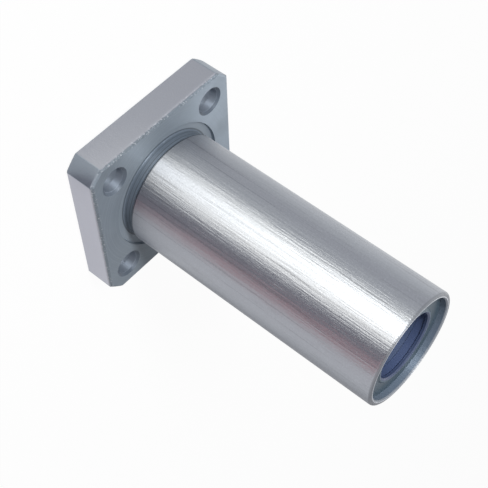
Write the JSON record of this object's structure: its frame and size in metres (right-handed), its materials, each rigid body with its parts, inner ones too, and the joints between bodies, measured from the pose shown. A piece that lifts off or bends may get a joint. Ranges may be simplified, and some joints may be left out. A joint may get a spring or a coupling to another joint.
{
  "type": "square flange linear ball bearing",
  "caption": "Long steel linear ball bearing with a square mounting flange at one end, recirculating balls inside and a rubber wiper seal at each end.",
  "frame": {"origin": "centre of the flange's outer face, on the shaft's axis", "axes": "+Z along the shaft from the flange to the free end; X and Y square to the flange's sides"},
  "size_m": [0.032, 0.032, 0.057],
  "materials": {
    "sleeve_steel": "ground bearing steel",
    "ring_steel": "plain",
    "ball_steel": "polished",
    "retainer_resin": "moulded",
    "seal_rubber": "moulded"
  },
  "bodies": {
    "sleeve": {"flanged_sleeve": "sleeve_steel", "spacer": "ring_steel", "flange_end_retainer": "retainer_resin", "flange_end_retaining_ring": "ring_steel", "flange_end_seal_core": "ring_steel", "flange_end_seal_face": "seal_rubber", "free_end_retainer": "retainer_resin", "free_end_retaining_ring": "ring_steel", "free_end_seal_core": "ring_steel", "free_end_seal_face": "seal_rubber"},
    "flange_end_balls_1_load": {"flange_end_balls_1_load": "ball_steel"},
    "flange_end_balls_1_return": {"flange_end_balls_1_return": "ball_steel"},
    "flange_end_balls_1_turn_inner": {"flange_end_balls_1_turn_inner": "ball_steel"},
    "flange_end_balls_1_turn_outer": {"flange_end_balls_1_turn_outer": "ball_steel"},
    "flange_end_balls_2_load": {"flange_end_balls_2_load": "ball_steel"},
    "flange_end_balls_2_return": {"flange_end_balls_2_return": "ball_steel"},
    "flange_end_balls_2_turn_inner": {"flange_end_balls_2_turn_inner": "ball_steel"},
    "flange_end_balls_2_turn_outer": {"flange_end_balls_2_turn_outer": "ball_steel"},
    "flange_end_balls_3_load": {"flange_end_balls_3_load": "ball_steel"},
    "flange_end_balls_3_return": {"flange_end_balls_3_return": "ball_steel"},
    "flange_end_balls_3_turn_inner": {"flange_end_balls_3_turn_inner": "ball_steel"},
    "flange_end_balls_3_turn_outer": {"flange_end_balls_3_turn_outer": "ball_steel"},
    "flange_end_balls_4_load": {"flange_end_balls_4_load": "ball_steel"},
    "flange_end_balls_4_return": {"flange_end_balls_4_return": "ball_steel"},
    "flange_end_balls_4_turn_inner": {"flange_end_balls_4_turn_inner": "ball_steel"},
    "flange_end_balls_4_turn_outer": {"flange_end_balls_4_turn_outer": "ball_steel"},
    "free_end_balls_1_load": {"free_end_balls_1_load": "ball_steel"},
    "free_end_balls_1_return": {"free_end_balls_1_return": "ball_steel"},
    "free_end_balls_1_turn_inner": {"free_end_balls_1_turn_inner": "ball_steel"},
    "free_end_balls_1_turn_outer": {"free_end_balls_1_turn_outer": "ball_steel"},
    "free_end_balls_2_load": {"free_end_balls_2_load": "ball_steel"},
    "free_end_balls_2_return": {"free_end_balls_2_return": "ball_steel"},
    "free_end_balls_2_turn_inner": {"free_end_balls_2_turn_inner": "ball_steel"},
    "free_end_balls_2_turn_outer": {"free_end_balls_2_turn_outer": "ball_steel"},
    "free_end_balls_3_load": {"free_end_balls_3_load": "ball_steel"},
    "free_end_balls_3_return": {"free_end_balls_3_return": "ball_steel"},
    "free_end_balls_3_turn_inner": {"free_end_balls_3_turn_inner": "ball_steel"},
    "free_end_balls_3_turn_outer": {"free_end_balls_3_turn_outer": "ball_steel"},
    "free_end_balls_4_load": {"free_end_balls_4_load": "ball_steel"},
    "free_end_balls_4_return": {"free_end_balls_4_return": "ball_steel"},
    "free_end_balls_4_turn_inner": {"free_end_balls_4_turn_inner": "ball_steel"},
    "free_end_balls_4_turn_outer": {"free_end_balls_4_turn_outer": "ball_steel"}
  },
  "joints": [
    {"name": "flange_end_balls_1_load_travel", "type": "slide", "parent": "sleeve", "child": "flange_end_balls_1_load", "axis": [0, 0, 1], "range_m": [-0.00138, 0.00138]},
    {"name": "flange_end_balls_1_return_travel", "type": "slide", "parent": "sleeve", "child": "flange_end_balls_1_return", "axis": [0, 0, 1], "range_m": [-0.00138, 0.00138]},
    {"name": "flange_end_balls_1_turn_inner_swing", "type": "hinge", "parent": "sleeve", "child": "flange_end_balls_1_turn_inner", "pos_m": [0.00721, 0.00175, 0.02239], "axis": [1, 0, 0], "range_deg": [-45, 45]},
    {"name": "flange_end_balls_1_turn_outer_swing", "type": "hinge", "parent": "sleeve", "child": "flange_end_balls_1_turn_outer", "pos_m": [0.00721, 0.00175, 0.00861], "axis": [1, 0, 0], "range_deg": [-45, 45]},
    {"name": "flange_end_balls_2_load_travel", "type": "slide", "parent": "sleeve", "child": "flange_end_balls_2_load", "axis": [0, 0, 1], "range_m": [-0.00138, 0.00138]},
    {"name": "flange_end_balls_2_return_travel", "type": "slide", "parent": "sleeve", "child": "flange_end_balls_2_return", "axis": [0, 0, 1], "range_m": [-0.00138, 0.00138]},
    {"name": "flange_end_balls_2_turn_inner_swing", "type": "hinge", "parent": "sleeve", "child": "flange_end_balls_2_turn_inner", "pos_m": [-0.00175, 0.00721, 0.02239], "axis": [0, 1, 0], "range_deg": [-45, 45]},
    {"name": "flange_end_balls_2_turn_outer_swing", "type": "hinge", "parent": "sleeve", "child": "flange_end_balls_2_turn_outer", "pos_m": [-0.00175, 0.00721, 0.00861], "axis": [0, 1, 0], "range_deg": [-45, 45]},
    {"name": "flange_end_balls_3_load_travel", "type": "slide", "parent": "sleeve", "child": "flange_end_balls_3_load", "axis": [0, 0, 1], "range_m": [-0.00138, 0.00138]},
    {"name": "flange_end_balls_3_return_travel", "type": "slide", "parent": "sleeve", "child": "flange_end_balls_3_return", "axis": [0, 0, 1], "range_m": [-0.00138, 0.00138]},
    {"name": "flange_end_balls_3_turn_inner_swing", "type": "hinge", "parent": "sleeve", "child": "flange_end_balls_3_turn_inner", "pos_m": [-0.00721, -0.00175, 0.02239], "axis": [-1, 0, 0], "range_deg": [-45, 45]},
    {"name": "flange_end_balls_3_turn_outer_swing", "type": "hinge", "parent": "sleeve", "child": "flange_end_balls_3_turn_outer", "pos_m": [-0.00721, -0.00175, 0.00861], "axis": [-1, 0, 0], "range_deg": [-45, 45]},
    {"name": "flange_end_balls_4_load_travel", "type": "slide", "parent": "sleeve", "child": "flange_end_balls_4_load", "axis": [0, 0, 1], "range_m": [-0.00138, 0.00138]},
    {"name": "flange_end_balls_4_return_travel", "type": "slide", "parent": "sleeve", "child": "flange_end_balls_4_return", "axis": [0, 0, 1], "range_m": [-0.00138, 0.00138]},
    {"name": "flange_end_balls_4_turn_inner_swing", "type": "hinge", "parent": "sleeve", "child": "flange_end_balls_4_turn_inner", "pos_m": [0.00175, -0.00721, 0.02239], "axis": [0, -1, 0], "range_deg": [-45, 45]},
    {"name": "flange_end_balls_4_turn_outer_swing", "type": "hinge", "parent": "sleeve", "child": "flange_end_balls_4_turn_outer", "pos_m": [0.00175, -0.00721, 0.00861], "axis": [0, -1, 0], "range_deg": [-45, 45]},
    {"name": "free_end_balls_1_load_travel", "type": "slide", "parent": "sleeve", "child": "free_end_balls_1_load", "axis": [0, 0, 1], "range_m": [-0.00138, 0.00138]},
    {"name": "free_end_balls_1_return_travel", "type": "slide", "parent": "sleeve", "child": "free_end_balls_1_return", "axis": [0, 0, 1], "range_m": [-0.00138, 0.00138]},
    {"name": "free_end_balls_1_turn_inner_swing", "type": "hinge", "parent": "sleeve", "child": "free_end_balls_1_turn_inner", "pos_m": [0.00721, -0.00175, 0.03461], "axis": [1, 0, 0], "range_deg": [-45, 45]},
    {"name": "free_end_balls_1_turn_outer_swing", "type": "hinge", "parent": "sleeve", "child": "free_end_balls_1_turn_outer", "pos_m": [0.00721, -0.00175, 0.04839], "axis": [1, 0, 0], "range_deg": [-45, 45]},
    {"name": "free_end_balls_2_load_travel", "type": "slide", "parent": "sleeve", "child": "free_end_balls_2_load", "axis": [0, 0, 1], "range_m": [-0.00138, 0.00138]},
    {"name": "free_end_balls_2_return_travel", "type": "slide", "parent": "sleeve", "child": "free_end_balls_2_return", "axis": [0, 0, 1], "range_m": [-0.00138, 0.00138]},
    {"name": "free_end_balls_2_turn_inner_swing", "type": "hinge", "parent": "sleeve", "child": "free_end_balls_2_turn_inner", "pos_m": [-0.00175, -0.00721, 0.03461], "axis": [0, -1, 0], "range_deg": [-45, 45]},
    {"name": "free_end_balls_2_turn_outer_swing", "type": "hinge", "parent": "sleeve", "child": "free_end_balls_2_turn_outer", "pos_m": [-0.00175, -0.00721, 0.04839], "axis": [0, -1, 0], "range_deg": [-45, 45]},
    {"name": "free_end_balls_3_load_travel", "type": "slide", "parent": "sleeve", "child": "free_end_balls_3_load", "axis": [0, 0, 1], "range_m": [-0.00138, 0.00138]},
    {"name": "free_end_balls_3_return_travel", "type": "slide", "parent": "sleeve", "child": "free_end_balls_3_return", "axis": [0, 0, 1], "range_m": [-0.00138, 0.00138]},
    {"name": "free_end_balls_3_turn_inner_swing", "type": "hinge", "parent": "sleeve", "child": "free_end_balls_3_turn_inner", "pos_m": [-0.00721, 0.00175, 0.03461], "axis": [-1, 0, 0], "range_deg": [-45, 45]},
    {"name": "free_end_balls_3_turn_outer_swing", "type": "hinge", "parent": "sleeve", "child": "free_end_balls_3_turn_outer", "pos_m": [-0.00721, 0.00175, 0.04839], "axis": [-1, 0, 0], "range_deg": [-45, 45]},
    {"name": "free_end_balls_4_load_travel", "type": "slide", "parent": "sleeve", "child": "free_end_balls_4_load", "axis": [0, 0, 1], "range_m": [-0.00138, 0.00138]},
    {"name": "free_end_balls_4_return_travel", "type": "slide", "parent": "sleeve", "child": "free_end_balls_4_return", "axis": [0, 0, 1], "range_m": [-0.00138, 0.00138]},
    {"name": "free_end_balls_4_turn_inner_swing", "type": "hinge", "parent": "sleeve", "child": "free_end_balls_4_turn_inner", "pos_m": [0.00175, 0.00721, 0.03461], "axis": [0, 1, 0], "range_deg": [-45, 45]},
    {"name": "free_end_balls_4_turn_outer_swing", "type": "hinge", "parent": "sleeve", "child": "free_end_balls_4_turn_outer", "pos_m": [0.00175, 0.00721, 0.04839], "axis": [0, 1, 0], "range_deg": [-45, 45]}
  ],
  "couplings": [
    {"joint": "flange_end_balls_1_return_travel", "follows": "flange_end_balls_1_load_travel", "ratio": -1},
    {"joint": "flange_end_balls_1_turn_inner_swing", "follows": "flange_end_balls_1_load_travel", "rad_per_m": -570.02},
    {"joint": "flange_end_balls_1_turn_outer_swing", "follows": "flange_end_balls_1_load_travel", "rad_per_m": -570.02},
    {"joint": "flange_end_balls_2_return_travel", "follows": "flange_end_balls_2_load_travel", "ratio": -1},
    {"joint": "flange_end_balls_2_turn_inner_swing", "follows": "flange_end_balls_2_load_travel", "rad_per_m": -570.02},
    {"joint": "flange_end_balls_2_turn_outer_swing", "follows": "flange_end_balls_2_load_travel", "rad_per_m": -570.02},
    {"joint": "flange_end_balls_3_return_travel", "follows": "flange_end_balls_3_load_travel", "ratio": -1},
    {"joint": "flange_end_balls_3_turn_inner_swing", "follows": "flange_end_balls_3_load_travel", "rad_per_m": -570.02},
    {"joint": "flange_end_balls_3_turn_outer_swing", "follows": "flange_end_balls_3_load_travel", "rad_per_m": -570.02},
    {"joint": "flange_end_balls_4_return_travel", "follows": "flange_end_balls_4_load_travel", "ratio": -1},
    {"joint": "flange_end_balls_4_turn_inner_swing", "follows": "flange_end_balls_4_load_travel", "rad_per_m": -570.02},
    {"joint": "flange_end_balls_4_turn_outer_swing", "follows": "flange_end_balls_4_load_travel", "rad_per_m": -570.02},
    {"joint": "free_end_balls_1_return_travel", "follows": "free_end_balls_1_load_travel", "ratio": -1},
    {"joint": "free_end_balls_1_turn_inner_swing", "follows": "free_end_balls_1_load_travel", "rad_per_m": 570.02},
    {"joint": "free_end_balls_1_turn_outer_swing", "follows": "free_end_balls_1_load_travel", "rad_per_m": 570.02},
    {"joint": "free_end_balls_2_return_travel", "follows": "free_end_balls_2_load_travel", "ratio": -1},
    {"joint": "free_end_balls_2_turn_inner_swing", "follows": "free_end_balls_2_load_travel", "rad_per_m": 570.02},
    {"joint": "free_end_balls_2_turn_outer_swing", "follows": "free_end_balls_2_load_travel", "rad_per_m": 570.02},
    {"joint": "free_end_balls_3_return_travel", "follows": "free_end_balls_3_load_travel", "ratio": -1},
    {"joint": "free_end_balls_3_turn_inner_swing", "follows": "free_end_balls_3_load_travel", "rad_per_m": 570.02},
    {"joint": "free_end_balls_3_turn_outer_swing", "follows": "free_end_balls_3_load_travel", "rad_per_m": 570.02},
    {"joint": "free_end_balls_4_return_travel", "follows": "free_end_balls_4_load_travel", "ratio": -1},
    {"joint": "free_end_balls_4_turn_inner_swing", "follows": "free_end_balls_4_load_travel", "rad_per_m": 570.02},
    {"joint": "free_end_balls_4_turn_outer_swing", "follows": "free_end_balls_4_load_travel", "rad_per_m": 570.02}
  ]
}
